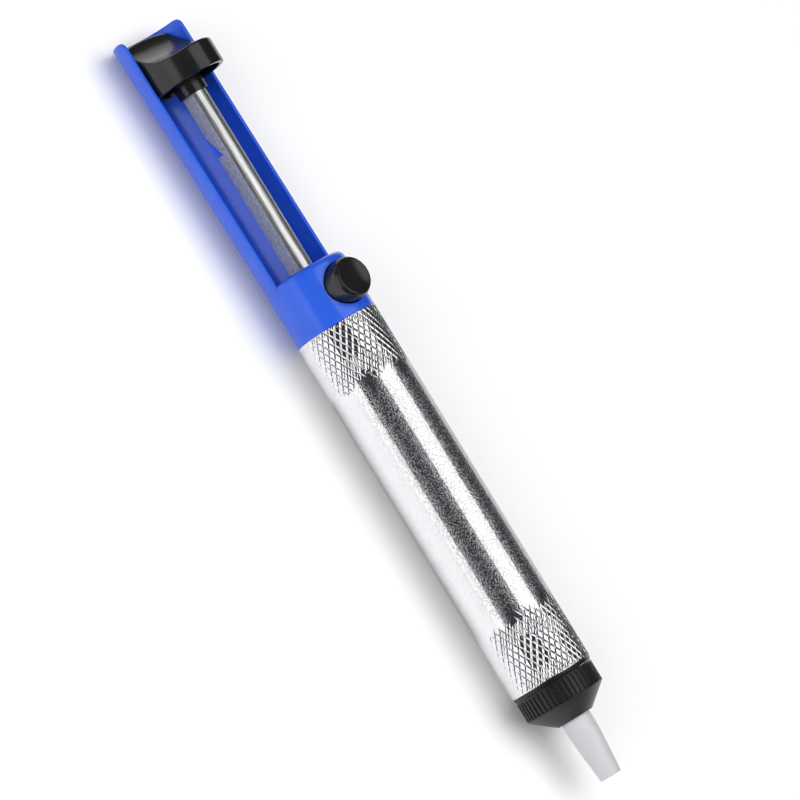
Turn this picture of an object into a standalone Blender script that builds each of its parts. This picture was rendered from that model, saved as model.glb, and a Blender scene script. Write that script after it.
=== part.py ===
"""Desoldering pump, modelled lying on its back: the axis runs along +X to the nozzle, +Z is up.

Lengths along the pump are stations: distances from the rear end of the blue guard. The origin is
under the middle of the pump, on the surface that it lies on. Every piece is its own solid.
"""
from math import cos, pi, radians, sin

import bmesh
import bpy

MM = 0.001

# Driving dimensions
NOZZLE_END = 196.0 * MM          # station of the nozzle's open end
KNOB_CREST = 0.8 * MM            # station of the knob's back wall, just inside the guard's end
GUARD_RADIUS = 9.85 * MM
GUARD_BORE = 8.95 * MM
GUARD_LEAN = 1.1 * MM            # how far the guard's free end leans back from the axis
GUARD_CORNER = 1.6 * MM
BLOCK_START = 64.6 * MM
BLOCK_END = 78.85 * MM
BLOCK_RADIUS = 9.95 * MM
BLOCK_FILLET = 1.5 * MM
SPIGOT_END = 90.3 * MM
SPIGOT_RADIUS = 8.7 * MM
TUBE_START = 79.15 * MM
TUBE_END = 170.6 * MM
TUBE_RADIUS = 10.0 * MM
TUBE_BORE = 9.0 * MM
SHAFT_RADIUS = 2.9 * MM
SHAFT_FLAT = 2.2 * MM            # half of the width across the shaft's two flats
FLAT_START = 17.0 * MM
NOTCH_START = 24.0 * MM
NOTCH_END = 33.0 * MM
NOTCH_DEPTH = 3.0 * MM
SHAFT_HOLE = 3.3 * MM            # clearance hole through the block
KNOB_HALF_WIDTH = 8.55 * MM
KNOB_FRONT = 10.7 * MM
KNOB_SKIRT_END = 15.0 * MM
KNOB_WALL = 1.3 * MM
KNOB_BOSS_RADIUS = 3.6 * MM
KNOB_BOSS_END = 17.9 * MM
KNOB_BORE = 3.0 * MM
SCOOP_RADIUS = 14.3 * MM         # the hollow where the thumb rests
SCOOP_STATION = -5.4 * MM
SCOOP_HEIGHT = 8.0 * MM
BUTTON_STATION = 71.9 * MM
BUTTON_RADIUS = 4.95 * MM
BUTTON_TOP = 13.6 * MM           # heights on the button are measured from the pump's axis
BUTTON_BOTTOM = -5.0 * MM
BUTTON_WELL_FLOOR = -7.2 * MM
GAP = 0.3 * MM                   # left between pieces that touch
BUSH_SEAT = 84.0 * MM            # station of the floor that the bush is pressed against
BUSH_RADIUS = 5.0 * MM
BUMPER_THICKNESS = 1.8 * MM
SHAFT_SHOULDER = 92.4 * MM       # where the shaft steps down to its threaded end
THREAD_RADIUS = 2.0 * MM
THREAD_HOLE = 2.3 * MM
WASHER_THICKNESS = 0.8 * MM
PISTON_LENGTH = 9.0 * MM
PISTON_RADIUS = 8.6 * MM
NUT_HALF_WIDTH = 3.5 * MM
NUT_THICKNESS = 3.2 * MM
PIN_SEAT = 104.7 * MM
PIN_RADIUS = 0.75 * MM
PIN_TIP = 155.0 * MM
WIRE_MAIN = 0.9 * MM
WIRE_BUTTON = 0.4 * MM
INSERT_START = 160.0 * MM
INSERT_RADIUS = 8.7 * MM
SPRING_SEAT = 164.0 * MM
ORING_GROOVE = 166.5 * MM
ORING_GROOVE_WIDTH = 2.0 * MM
INSERT_FLANGE_END = 171.5 * MM
STUB_END = 175.6 * MM
STUB_RADIUS = 6.8 * MM
SEAL_THICKNESS = 0.35 * MM
NOZZLE_FLANGE_END = 178.0 * MM
NOZZLE_RADIUS = 3.5 * MM
COLLAR_RADIUS = 9.65 * MM
COLLAR_END = 180.9 * MM
SIDES = 48
SMALL_SIDES = 32

# Placing: the lowest point is the guard's free end, and the pump's middle is over the origin
AXIS_HEIGHT = GUARD_RADIUS + GUARD_LEAN
MIDDLE = NOZZLE_END / 2

# The stack on the shaft's threaded end and at the nose, each piece a gap from the one before
PISTON_START = SHAFT_SHOULDER + WASHER_THICKNESS + 2 * GAP
PISTON_END = PISTON_START + PISTON_LENGTH
NUT_START = PISTON_END + WASHER_THICKNESS + 2 * GAP
NUT_END = NUT_START + NUT_THICKNESS
SEAL_START = STUB_END + GAP
NOZZLE_START = SEAL_START + SEAL_THICKNESS + GAP

TURNED_POSE = (0.0, pi / 2, 0.0)          # local Z along the pump's axis
CROSS_SECTION_POSE = (pi / 2, 0.0, pi / 2)  # an outline in the YZ plane, thickness along X
SIDE_VIEW_POSE = (pi / 2, 0.0, 0.0)       # an outline in the XZ plane, thickness along Y


def clear_scene():
    for obj in list(bpy.data.objects):
        bpy.data.objects.remove(obj, do_unlink=True)


def new_collection(name):
    collection = bpy.data.collections.new(name)
    bpy.context.scene.collection.children.link(collection)
    return collection


clear_scene()
PARTS = new_collection("desoldering_pump")
CUTTERS = new_collection("cutters")


def make_material(name, color, roughness, metallic=0.0):
    material = bpy.data.materials.new(name)
    material.use_nodes = True
    shader = material.node_tree.nodes["Principled BSDF"]
    shader.inputs["Base Color"].default_value = (*color, 1.0)
    shader.inputs["Roughness"].default_value = roughness
    shader.inputs["Metallic"].default_value = metallic
    return material


BLUE = make_material("blue_plastic", (0.022, 0.082, 0.62), 0.28)
BLACK = make_material("black_plastic", (0.012, 0.012, 0.013), 0.38)
WHITE = make_material("white_ptfe", (0.78, 0.78, 0.80), 0.45)
RUBBER = make_material("rubber", (0.02, 0.02, 0.02), 0.75)
ALUMINIUM = make_material("aluminium", (0.83, 0.84, 0.86), 0.25, 1.0)
STEEL = make_material("steel", (0.68, 0.68, 0.70), 0.3, 1.0)
SPRING_STEEL = make_material("spring_steel", (0.55, 0.55, 0.56), 0.35, 1.0)
BRONZE = make_material("bronze", (0.62, 0.42, 0.20), 0.4, 1.0)


def on_axis(station, height=0.0):
    """The world position of a point over the pump's axis."""
    return (station - MIDDLE, 0.0, AXIS_HEIGHT + height)


def add_object(name, mesh, collection, material=None):
    obj = bpy.data.objects.new(name, mesh)
    collection.objects.link(obj)
    if material:
        mesh.materials.append(material)
    if collection is CUTTERS:
        obj.hide_render = True
        obj.display_type = "WIRE"
    return obj


def to_mesh(obj, collection, material=None):
    """Replace a curve or a modified object by its evaluated, welded and smooth-shaded mesh."""
    name = obj.name
    bpy.context.view_layer.update()
    evaluated = obj.evaluated_get(bpy.context.evaluated_depsgraph_get())
    mesh = bpy.data.meshes.new_from_object(evaluated)
    matrix = obj.matrix_world.copy()
    bpy.data.objects.remove(obj, do_unlink=True)
    work = bmesh.new()
    work.from_mesh(mesh)
    bmesh.ops.remove_doubles(work, verts=work.verts, dist=1e-7)
    bmesh.ops.recalc_face_normals(work, faces=work.faces)
    work.to_mesh(mesh)
    work.free()
    mesh.shade_smooth()
    mesh.set_sharp_from_angle(angle=radians(30))
    mesh.materials.clear()
    solid = add_object(name, mesh, collection, material)
    solid.matrix_world = matrix
    return solid


def revolve(name, loop, closed, sides, collection, material):
    """Turn a loop of (height, radius) points about local Z; it runs down the outer side."""
    phase = pi / sides
    reach = 1.0 / cos(phase)  # the flats of the faceted body lie on the true radius
    verts = [(r * reach * cos(phase), r * reach * sin(phase), height) for height, r in loop]
    count = len(verts)
    edges = [(i, (i + 1) % count) for i in range(count if closed else count - 1)]
    mesh = bpy.data.meshes.new(name)
    mesh.from_pydata(verts, edges, [])
    obj = add_object(name, mesh, collection)
    screw = obj.modifiers.new("turn", "SCREW")
    screw.axis = "Z"
    screw.angle = 2 * pi
    screw.steps = sides
    screw.render_steps = sides
    screw.use_merge_vertices = True
    screw.merge_threshold = 1e-6
    return to_mesh(obj, collection, material)


def turned(name, outer, bore=(), material=None, sides=SIDES, collection=None, station=0.0):
    """A body of revolution about the pump's axis. outer and bore are (station, radius), rear to front."""
    if bore:
        loop = [*reversed(outer), *bore]
    else:
        loop = [(outer[-1][0], 0.0), *reversed(outer), (outer[0][0], 0.0)]
    loop = [(at - station, radius) for at, radius in loop]
    obj = revolve(name, loop, bool(bore), sides, collection or PARTS, material)
    obj.rotation_euler = TURNED_POSE
    obj.location = on_axis(station)
    return obj


def upright(name, outer, material=None, sides=SMALL_SIDES, collection=None):
    """A body of revolution about the button's axis. outer is (height, radius), bottom to top."""
    loop = [(outer[-1][0], 0.0), *reversed(outer), (outer[0][0], 0.0)]
    obj = revolve(name, loop, False, sides, collection or PARTS, material)
    obj.location = on_axis(BUTTON_STATION)
    return obj


def slab(name, outline, thickness, pose, location, material=None, collection=None):
    """A flat outline with a thickness, centred on its location."""
    curve = bpy.data.curves.new(name, "CURVE")
    curve.dimensions = "2D"
    curve.fill_mode = "BOTH"
    curve.extrude = thickness / 2
    spline = curve.splines.new("POLY")
    spline.points.add(len(outline) - 1)
    for point, (u, v) in zip(spline.points, outline):
        point.co = (u, v, 0.0, 1.0)
    spline.use_cyclic_u = True
    obj = bpy.data.objects.new(name, curve)
    bpy.context.scene.collection.objects.link(obj)
    obj.rotation_euler = pose
    obj.location = location
    return to_mesh(obj, collection or CUTTERS, material)


def box(name, size, location, material=None, collection=None):
    mesh = bpy.data.meshes.new(name)
    work = bmesh.new()
    bmesh.ops.create_cube(work, size=1.0)
    bmesh.ops.scale(work, vec=size, verts=work.verts)
    work.to_mesh(mesh)
    work.free()
    obj = add_object(name, mesh, collection or CUTTERS, material)
    obj.location = location
    return obj


def combine(obj, other, operation="DIFFERENCE"):
    modifier = obj.modifiers.new(other.name, "BOOLEAN")
    modifier.operation = operation
    modifier.solver = "EXACT"
    modifier.object = other
    return obj


def arc(center, radius, start, end, steps, stretch=1.0):
    """Points on an arc, in degrees; stretch scales the second coordinate."""
    turns = [radians(start + (end - start) * i / steps) for i in range(steps + 1)]
    return [(center[0] + radius * cos(t), center[1] + radius * stretch * sin(t)) for t in turns]


def helix_spring(name, radius, wire, coils, length, points_per_turn, material):
    """A compression spring along local Z from 0 to length, with its end turns closed up."""
    count = int(coils * points_per_turn)
    rise = length - wire
    closed = 1.0 / coils
    curve = bpy.data.curves.new(name, "CURVE")
    curve.dimensions = "3D"
    curve.bevel_depth = wire / 2
    curve.bevel_resolution = 2
    curve.use_fill_caps = True
    spline = curve.splines.new("POLY")
    spline.points.add(count)
    pitch_end = wire * 1.12
    for i, point in enumerate(spline.points):
        share = i / count
        turn = share * coils
        if share < closed:
            height = turn * pitch_end
        elif share > 1 - closed:
            height = rise - (coils - turn) * pitch_end
        else:
            middle = (turn - 1) / (coils - 2)
            height = pitch_end + middle * (rise - 2 * pitch_end)
        angle = 2 * pi * turn
        point.co = (radius * cos(angle), radius * sin(angle), wire / 2 + height, 1.0)
    obj = bpy.data.objects.new(name, curve)
    bpy.context.scene.collection.objects.link(obj)
    return to_mesh(obj, PARTS, material)


def make_barrel_tube():
    outer = [(TUBE_START, TUBE_RADIUS), (TUBE_END, TUBE_RADIUS)]
    bore = [(TUBE_START, TUBE_BORE), (TUBE_END, TUBE_BORE)]
    turned("barrel_tube", outer, bore, ALUMINIUM)


def make_guard_shell():
    """The half-round guard, open towards +Z, which runs a little way into the block."""
    root = BLOCK_START + 2 * MM
    shell = turned("guard_shell", [(0.0, GUARD_RADIUS), (root, GUARD_RADIUS)],
                   [(0.0, GUARD_BORE), (root, GUARD_BORE)], collection=CUTTERS)
    reach = 30 * MM
    outline = [(root + reach, 0.0), (root + reach, reach), (-reach, reach), (-reach, -GUARD_CORNER)]
    outline += [(0.0, -GUARD_CORNER)]
    outline += arc((GUARD_CORNER, -GUARD_CORNER), GUARD_CORNER, 180, 90, 4)[1:]
    combine(shell, slab("guard_opening", outline, 2 * reach, SIDE_VIEW_POSE, on_axis(0.0)))
    shell = to_mesh(shell, CUTTERS)
    for vertex in shell.data.vertices:  # local Z is the station and local X points down
        if vertex.co.z < BLOCK_START:
            vertex.co.x += GUARD_LEAN * (BLOCK_START - vertex.co.z) / BLOCK_START
    return shell


def make_handle_guard():
    fillet = arc((BLOCK_START + BLOCK_FILLET, BLOCK_RADIUS - BLOCK_FILLET), BLOCK_FILLET, 180, 90, 4)
    outer = [*fillet, (BLOCK_END, BLOCK_RADIUS), (BLOCK_END, SPIGOT_RADIUS), (SPIGOT_END, SPIGOT_RADIUS)]
    seat = BUSH_RADIUS + GAP
    bore = [(BLOCK_START, SHAFT_HOLE), (BUSH_SEAT, SHAFT_HOLE), (BUSH_SEAT, seat), (SPIGOT_END, seat)]
    block = turned("handle_guard", outer, bore, BLUE)
    combine(block, make_guard_shell(), "UNION")
    hole = BUTTON_RADIUS + GAP
    spring_pocket = 2.6 * MM
    pocket_floor = BUTTON_WELL_FLOOR - 1.8 * MM
    well = [(pocket_floor, spring_pocket), (BUTTON_WELL_FLOOR, spring_pocket)]
    well += [(BUTTON_WELL_FLOOR, hole), (12.0 * MM, hole)]
    combine(block, upright("button_well", well, collection=CUTTERS))


def washer(name, start, end, radius, hole, material, sides=SMALL_SIDES):
    turned(name, [(start, radius), (end, radius)], [(start, hole), (end, hole)], material, sides)


def make_rear_bush():
    end = SPIGOT_END - 0.1 * MM
    washer("rear_bush", BUSH_SEAT + GAP, end, BUSH_RADIUS, SHAFT_RADIUS + 0.1 * MM, BRONZE)


def make_rear_bumper():
    start = SPIGOT_END + GAP
    washer("rear_bumper", start, start + BUMPER_THICKNESS, 8.4 * MM, 3.5 * MM, RUBBER, SIDES)


def make_front_insert():
    """The plug in the tube's front end: spring pocket, seal groove, flange and threaded stub."""
    groove = 7.2 * MM
    groove_end = ORING_GROOVE + ORING_GROOVE_WIDTH
    outer = [(INSERT_START, INSERT_RADIUS), (ORING_GROOVE, INSERT_RADIUS), (ORING_GROOVE, groove)]
    outer += [(groove_end, groove), (groove_end, INSERT_RADIUS), (TUBE_END + GAP, INSERT_RADIUS)]
    outer += [(TUBE_END + GAP, 9.9 * MM), (INSERT_FLANGE_END, 9.6 * MM)]
    outer += [(INSERT_FLANGE_END, STUB_RADIUS), (STUB_END, STUB_RADIUS)]
    pocket = 7.9 * MM
    floor = SPRING_SEAT + WASHER_THICKNESS + GAP
    air_hole = 2.0 * MM
    bore = [(INSERT_START, pocket), (floor, pocket), (floor, air_hole)]
    bore += [(172.0 * MM, air_hole), (STUB_END, 3.4 * MM)]
    turned("front_insert", outer, bore, BLACK)


def ring(name, station, major, minor, material):
    bpy.ops.mesh.primitive_torus_add(major_radius=major, minor_radius=minor, major_segments=SIDES,
                                     minor_segments=8, location=on_axis(station),
                                     rotation=TURNED_POSE)
    obj = bpy.context.active_object
    obj.name = name
    obj.data.shade_smooth()
    obj.data.materials.append(material)
    for collection in list(obj.users_collection):
        collection.objects.unlink(obj)
    PARTS.objects.link(obj)


def make_main_spring():
    length = SPRING_SEAT - GAP - NUT_START
    spring = helix_spring("main_spring", 6.55 * MM, WIRE_MAIN, 19, length, 10, SPRING_STEEL)
    spring.rotation_euler = TURNED_POSE
    spring.location = on_axis(NUT_START)


def make_button_spring():
    bottom = -8.8 * MM
    length = BUTTON_BOTTOM - bottom - 0.2 * MM
    spring = helix_spring("button_spring", 1.9 * MM, WIRE_BUTTON, 4, length, 10, SPRING_STEEL)
    spring.location = on_axis(BUTTON_STATION, bottom)


def knob_outline(inset):
    """Round at the back and drawn out towards the thumb at the front, as (Y, Z) points."""
    width = KNOB_HALF_WIDTH - inset
    stretch = (KNOB_FRONT - inset) / width
    front = arc((0.0, 0.0), width, 0, 180, 20, stretch)
    back = arc((0.0, 0.0), width, 180, 360, 20)
    return front[:-1] + back[:-1]


def scoop_cutter(name, radius):
    outline = arc((0.0, 0.0), radius, 0, 360, 72)[:-1]
    width = 30 * MM
    return slab(name, outline, width, SIDE_VIEW_POSE, on_axis(SCOOP_STATION, SCOOP_HEIGHT))


def boss_cylinder(name, start):
    outer = [(start, KNOB_BOSS_RADIUS), (KNOB_BOSS_END, KNOB_BOSS_RADIUS)]
    return turned(name, outer, sides=SMALL_SIDES, collection=CUTTERS)


def make_plunger_knob():
    height = KNOB_SKIRT_END - KNOB_CREST
    middle = (KNOB_SKIRT_END + KNOB_CREST) / 2
    knob = slab("plunger_knob", knob_outline(0.0), height, CROSS_SECTION_POSE, on_axis(middle),
                BLACK, PARTS)
    combine(knob, scoop_cutter("thumb_scoop", SCOOP_RADIUS))
    roof = 3.5 * MM
    depth = KNOB_SKIRT_END + 2 * MM - roof
    hollow = slab("knob_hollow", knob_outline(KNOB_WALL), depth, CROSS_SECTION_POSE,
                  on_axis(roof + depth / 2))
    combine(hollow, scoop_cutter("knob_roof", SCOOP_RADIUS + KNOB_WALL))
    combine(hollow, boss_cylinder("boss_column", roof - MM))
    combine(knob, hollow)
    combine(knob, boss_cylinder("boss_end", KNOB_SKIRT_END - 2 * MM), "UNION")
    bore = turned("knob_bore", [(9.4 * MM, KNOB_BORE), (KNOB_BOSS_END + MM, KNOB_BORE)],
                  sides=SMALL_SIDES, collection=CUTTERS)
    combine(knob, bore)


def make_plunger_shaft():
    """The sliding rod: two flats, the catch notch on its back, and a threaded front end."""
    outer = [(9.7 * MM, SHAFT_RADIUS), (SHAFT_SHOULDER, SHAFT_RADIUS), (SHAFT_SHOULDER, THREAD_RADIUS)]
    outer += [(NUT_END + GAP, THREAD_RADIUS)]
    shaft = turned("plunger_shaft", outer, material=STEEL, sides=SMALL_SIDES)
    for side in (-1, 1):
        size = (SHAFT_SHOULDER - FLAT_START, 2 * MM, 8 * MM)
        place = on_axis((FLAT_START + SHAFT_SHOULDER) / 2)
        place = (place[0], side * (SHAFT_FLAT + MM), place[2])
        combine(shaft, box(f"shaft_flat_{'left' if side > 0 else 'right'}", size, place))
    below = -4 * MM
    floor = -SHAFT_RADIUS + NOTCH_DEPTH
    length = NOTCH_END - NOTCH_START
    steps = 6
    rise = [(length * i / steps, floor - NOTCH_DEPTH * (1 - (i / steps) ** 1.2)) for i in range(steps + 1)]
    outline = [(0.0, below), *rise, (length, below)]
    combine(shaft, slab("catch_notch", outline, 10 * MM, SIDE_VIEW_POSE, on_axis(NOTCH_START)))
    hole = PIN_RADIUS + GAP
    pin_seat = turned("pin_seat", [(PIN_SEAT, hole), (NUT_END + MM, hole)], sides=16, collection=CUTTERS)
    combine(shaft, pin_seat)


def make_piston():
    groove = 6.9 * MM
    groove_start = (PISTON_START + PISTON_END) / 2 - 1.1 * MM
    groove_end = (PISTON_START + PISTON_END) / 2 + 1.1 * MM
    outer = [(PISTON_START, PISTON_RADIUS), (groove_start, PISTON_RADIUS), (groove_start, groove)]
    outer += [(groove_end, groove), (groove_end, PISTON_RADIUS), (PISTON_END, PISTON_RADIUS)]
    bore = [(PISTON_START, THREAD_HOLE), (PISTON_END, THREAD_HOLE)]
    turned("piston", outer, bore, BLACK)


def make_piston_nut():
    mesh = bpy.data.meshes.new("piston_nut")
    work = bmesh.new()
    corner = NUT_HALF_WIDTH / cos(pi / 6)
    bmesh.ops.create_cone(work, cap_ends=True, segments=6, radius1=corner, radius2=corner,
                          depth=NUT_THICKNESS)
    work.to_mesh(mesh)
    work.free()
    nut = add_object("piston_nut", mesh, PARTS, STEEL)
    nut.rotation_euler = TURNED_POSE
    nut.location = on_axis((NUT_START + NUT_END) / 2)
    bore = turned("nut_bore", [(NUT_START - MM, THREAD_HOLE), (NUT_END + MM, THREAD_HOLE)], sides=16,
                  collection=CUTTERS)
    combine(nut, bore)


def make_cleaning_pin():
    outer = [(PIN_SEAT + GAP, PIN_RADIUS), (PIN_TIP - MM, PIN_RADIUS), (PIN_TIP, 0.4 * MM)]
    turned("cleaning_pin", outer, material=STEEL, sides=16)


def stadium(half_width, low, high):
    """An upright slot with round ends, as (Y, Z) points."""
    top = arc((0.0, high - half_width), half_width, 0, 180, 8)
    bottom = arc((0.0, low + half_width), half_width, 180, 360, 8)
    return top + bottom


def make_release_button():
    """A round button with a dished face, cross-drilled so that the shaft passes through it."""
    rim = BUTTON_RADIUS - 0.5 * MM
    dish = 0.4 * MM
    outer = [(BUTTON_BOTTOM, BUTTON_RADIUS), (BUTTON_TOP - 0.8 * MM, BUTTON_RADIUS)]
    outer += [(BUTTON_TOP - 0.25 * MM, BUTTON_RADIUS - 0.2 * MM)]
    outer += [(BUTTON_TOP - dish * (1 - share ** 2), rim * share) for share in (1.0, 0.7, 0.35)]
    button = upright("release_button", outer, BLACK)
    place = on_axis(BUTTON_STATION)
    passage = stadium(3.3 * MM, -3.4 * MM, 5.7 * MM)
    combine(button, slab("shaft_passage", passage, 14 * MM, CROSS_SECTION_POSE, place))
    slot_top = 7.3 * MM
    slot_low = BUTTON_BOTTOM - MM
    slot = (2.0 * MM, 8.8 * MM, slot_top - slot_low)
    place = on_axis(BUTTON_STATION, (slot_top + slot_low) / 2)
    combine(button, box("plate_slot", slot, place))


def make_catch_plate():
    """The steel plate in the button, whose lower lip drops into the shaft's notch."""
    half_width = 4.1 * MM
    low = BUTTON_BOTTOM + 0.1 * MM
    high = 7.0 * MM
    outline = [(-half_width, low), (half_width, low), (half_width, high), (-half_width, high)]
    plate = slab("catch_plate", outline, 1.4 * MM, CROSS_SECTION_POSE, on_axis(BUTTON_STATION),
                 STEEL, PARTS)
    hole = stadium(3.15 * MM, -3.05 * MM, 5.4 * MM)
    combine(plate, slab("plate_hole", hole, 4 * MM, CROSS_SECTION_POSE, on_axis(BUTTON_STATION)))


def make_nozzle_tip():
    """The white heat-proof nozzle: a clamped flange, a straight neck and a slowly rounding taper."""
    neck_end = 184.4 * MM
    flange = 6.0 * MM
    narrowing = NOZZLE_RADIUS - 2.6 * MM
    length = NOZZLE_END - neck_end
    shares = [i / 6 for i in range(7)]
    taper = [(neck_end + length * share, NOZZLE_RADIUS - narrowing * share ** 1.2) for share in shares]
    outer = [(NOZZLE_START, flange), (NOZZLE_FLANGE_END, flange), (NOZZLE_FLANGE_END, NOZZLE_RADIUS)]
    bore = [(NOZZLE_START, 3.2 * MM), (182.0 * MM, 1.4 * MM), (NOZZLE_END, 1.3 * MM)]
    turned("nozzle_tip", outer + taper, bore, WHITE, SMALL_SIDES)


def make_nose_collar():
    """The ribbed ring nut that clamps the nozzle's flange to the insert's stub."""
    start = INSERT_FLANGE_END + GAP
    outer = [(start, COLLAR_RADIUS), (176.6 * MM, COLLAR_RADIUS), (COLLAR_END, 4.35 * MM)]
    thread = STUB_RADIUS + GAP
    thread_end = STUB_END + 0.6 * MM
    chamber = 6.3 * MM
    lip = NOZZLE_FLANGE_END + GAP
    mouth = NOZZLE_RADIUS + 0.25 * MM
    bore = [(start, thread), (thread_end, thread), (thread_end, chamber)]
    bore += [(lip, chamber), (lip, mouth), (COLLAR_END, mouth)]
    turned("nose_collar", outer, bore, BLACK)


make_barrel_tube()
make_handle_guard()
make_rear_bush()
make_rear_bumper()
make_front_insert()
ring("insert_o_ring", ORING_GROOVE + ORING_GROOVE_WIDTH / 2, 8.1 * MM, 0.7 * MM, RUBBER)
washer("spring_seat", SPRING_SEAT, SPRING_SEAT + WASHER_THICKNESS, 7.6 * MM, 3.0 * MM, STEEL)
make_main_spring()
make_button_spring()
make_plunger_knob()
make_plunger_shaft()
washer("piston_rear_washer", SHAFT_SHOULDER + GAP, PISTON_START - GAP, 6.0 * MM, THREAD_HOLE, STEEL)
make_piston()
ring("piston_o_ring", (PISTON_START + PISTON_END) / 2, 8.0 * MM, 0.8 * MM, RUBBER)
washer("piston_front_washer", PISTON_END + GAP, NUT_START - GAP, 7.6 * MM, THREAD_HOLE, STEEL)
make_piston_nut()
make_cleaning_pin()
make_release_button()
make_catch_plate()
make_nozzle_tip()
washer("nozzle_seal", SEAL_START, SEAL_START + SEAL_THICKNESS, 5.9 * MM, 3.6 * MM, RUBBER)
make_nose_collar()
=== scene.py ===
"""A desoldering pump lying on a pale floor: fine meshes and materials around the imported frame.

Shapes are worked out in pump coordinates, in millimetres: the station along the pump from the
guard's rear end, then Y and Z measured from the pump's axis.
"""
from math import acos, atan2, cos, pi, radians, sin, sqrt

import bmesh
import bpy
import numpy as np
from mathutils import Matrix, Vector

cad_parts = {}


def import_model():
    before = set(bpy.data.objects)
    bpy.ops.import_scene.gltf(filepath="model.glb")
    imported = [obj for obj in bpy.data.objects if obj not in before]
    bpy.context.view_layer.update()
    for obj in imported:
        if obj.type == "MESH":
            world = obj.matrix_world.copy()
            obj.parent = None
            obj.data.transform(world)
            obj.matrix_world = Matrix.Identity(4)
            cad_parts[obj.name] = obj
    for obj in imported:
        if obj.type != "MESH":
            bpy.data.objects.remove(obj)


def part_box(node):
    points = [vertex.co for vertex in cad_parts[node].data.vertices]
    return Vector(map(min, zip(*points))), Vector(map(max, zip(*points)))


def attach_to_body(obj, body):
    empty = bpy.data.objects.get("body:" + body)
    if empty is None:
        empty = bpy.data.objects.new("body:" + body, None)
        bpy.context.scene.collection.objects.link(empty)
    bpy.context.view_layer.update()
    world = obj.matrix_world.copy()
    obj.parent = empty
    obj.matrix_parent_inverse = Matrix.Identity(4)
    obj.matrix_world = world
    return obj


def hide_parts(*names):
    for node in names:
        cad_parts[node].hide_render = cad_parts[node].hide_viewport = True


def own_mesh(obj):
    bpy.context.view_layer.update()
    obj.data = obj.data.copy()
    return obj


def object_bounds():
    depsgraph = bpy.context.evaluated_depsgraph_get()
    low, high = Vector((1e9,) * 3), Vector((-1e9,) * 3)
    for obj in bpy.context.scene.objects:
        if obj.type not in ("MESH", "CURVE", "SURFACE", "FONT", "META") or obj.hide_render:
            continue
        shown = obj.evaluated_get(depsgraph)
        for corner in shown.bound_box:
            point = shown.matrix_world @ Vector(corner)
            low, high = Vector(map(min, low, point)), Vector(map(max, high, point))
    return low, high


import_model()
CAD_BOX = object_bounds()

MM = 0.001

# Stations along the pump.
BLOCK_START, BLOCK_END = 64.6, 79.0
BUTTON_STATION = 71.9
TUBE_START, TUBE_END = 79.0, 170.6
NOZZLE_END = 196.0

# The frame's tube sets the axis and its radius, and the nozzle's tip sets where stations start.
TUBE_LOW, TUBE_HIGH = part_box("barrel_tube")
AXIS_Z = (TUBE_LOW.z + TUBE_HIGH.z) / 2
TUBE_RADIUS = (TUBE_HIGH.z - TUBE_LOW.z) / 2 / MM
NOZZLE_TIP_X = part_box("nozzle_tip")[1].x

PLUG_RADIUS = 8.7                 # of the block and the insert where they sit in the tube
ROUND = 192                       # points around a turned piece
SHARP = 35                        # degrees; flatter edges are shaded smooth
CUT_SHARP = 40                    # the same on cut pieces
WELD = 1e-7                       # points closer than this, in metres, become one
CUT_WELD = 5e-6                   # the same after a cut
BEVEL_WELD = 2e-6                 # the same before a bevel


def world(points):
    """Pump coordinates in millimetres to the row frame in metres."""
    points = np.asarray(points, float)
    out = points * MM
    out[..., 0] += NOZZLE_TIP_X - NOZZLE_END * MM
    out[..., 2] += AXIS_Z
    return out


def measured(name):
    """A node's first station, last station and radius across Y, taken from the frame."""
    low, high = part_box(name)
    first, last = ((x - NOZZLE_TIP_X) / MM + NOZZLE_END for x in (low.x, high.x))
    return first, last, high.y / MM


# ---------------------------------------------------------------- mesh building

def finish_mesh(name, verts, faces, material, body, replaces=(), sharp=SHARP):
    mesh = bpy.data.meshes.new(name)
    mesh.from_pydata([tuple(v) for v in world(verts)], [], faces)
    work = bmesh.new()
    work.from_mesh(mesh)
    bmesh.ops.remove_doubles(work, verts=work.verts, dist=WELD)
    bmesh.ops.recalc_face_normals(work, faces=work.faces)
    work.to_mesh(mesh)
    work.free()
    mesh.shade_smooth()
    mesh.set_sharp_from_angle(angle=radians(sharp))
    mesh.materials.append(material)
    obj = bpy.data.objects.new(f"{name}_fine", mesh)
    bpy.context.scene.collection.objects.link(obj)
    if body:
        attach(obj, body, replaces)
    return obj


def attach(obj, body, replaces=()):
    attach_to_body(obj, body)
    if replaces:
        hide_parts(*replaces)


def strip_faces(rings, count, wrap):
    """Quads between successive rings of count points; wrap joins the last ring to the first."""
    faces = []
    for r in range(rings if wrap else rings - 1):
        a, b = r * count, (r + 1) % rings * count
        for i in range(count):
            j = (i + 1) % count
            faces.append((a + i, a + j, b + j, b + i))
    return faces


def loft(name, rings, material, body, replaces=(), wrap=False, sharp=SHARP):
    """A closed skin through rings of equal length; open ends are closed with fans."""
    rings = np.asarray(rings, float)
    total, count = rings.shape[:2]
    verts = list(rings.reshape(-1, 3))
    faces = strip_faces(total, count, wrap)
    if not wrap:
        for start in (0, (total - 1) * count):
            centre = len(verts)
            verts.append(np.mean(verts[start:start + count], axis=0))
            faces += [(start + i, start + (i + 1) % count, centre) for i in range(count)]
    return finish_mesh(name, verts, faces, material, body, replaces, sharp)


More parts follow.
